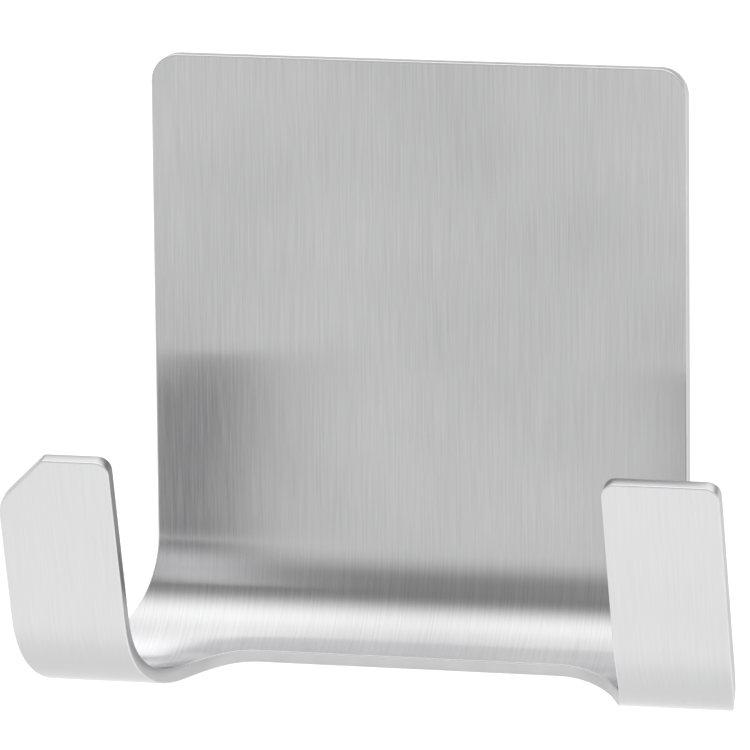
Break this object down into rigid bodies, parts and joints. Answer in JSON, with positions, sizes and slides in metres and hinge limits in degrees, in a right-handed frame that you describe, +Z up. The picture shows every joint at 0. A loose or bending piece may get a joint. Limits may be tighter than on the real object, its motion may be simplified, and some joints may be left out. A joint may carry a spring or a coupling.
{
  "type": "wall hook",
  "caption": "Self-adhesive wall hook: a brushed steel sheet with a flat back plate that curls forward into two upturned prongs, for hanging towels or clothes.",
  "frame": {"origin": "centre of the mounting pad's wall face, level with the middle of the flat plate", "axes": "+X to the right as seen from the room, +Y into the wall, +Z up"},
  "size_m": [0.0738, 0.0307, 0.0626],
  "materials": {
    "brushed_stainless": "brushed along the sheet's length, with lightly softened edges",
    "foam": "matt closed-cell foam with cut edges",
    "adhesive": "tacky acrylic coat, slightly yellow"
  },
  "bodies": {
    "root": {"bent_steel_hook": "brushed_stainless", "plate_side_adhesive": "adhesive", "foam_core": "foam", "wall_side_adhesive": "adhesive"}
  },
  "joints": []
}
